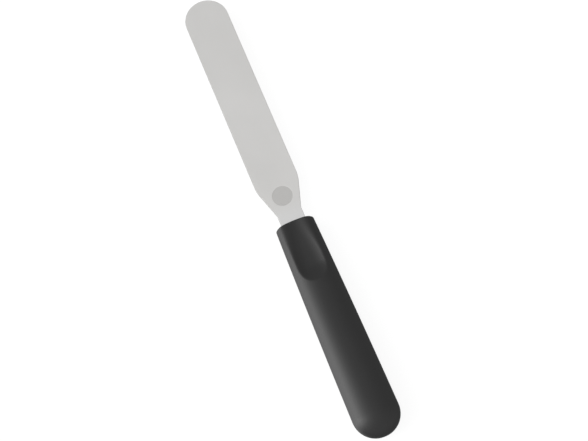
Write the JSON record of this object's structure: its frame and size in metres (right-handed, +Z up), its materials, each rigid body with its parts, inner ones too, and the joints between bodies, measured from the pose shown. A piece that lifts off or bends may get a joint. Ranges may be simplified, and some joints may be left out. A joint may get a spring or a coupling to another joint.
{
  "type": "icing spatula",
  "caption": "Straight icing spatula with a narrow round-ended steel blade, necked down into a moulded black handle with a thumb rest.",
  "frame": {"origin": "midway along the tool, on its centre plane, at the level of the lowest point of the handle's belly", "axes": "+X along the tool from the butt of the handle to the blade's tip, +Y across the tool, +Z up out of the side that has the thumb rest"},
  "size_m": [0.2286, 0.022, 0.0156],
  "materials": {
    "blade_steel": "fine satin grind on both faces, with a plain frosted spot near the neck",
    "core_plastic": "plain moulded, hidden inside the grip",
    "grip_plastic": "smooth satin black moulding"
  },
  "bodies": {
    "root": {"blade": "blade_steel", "handle_core": "core_plastic", "handle_grip": "grip_plastic"}
  },
  "joints": []
}
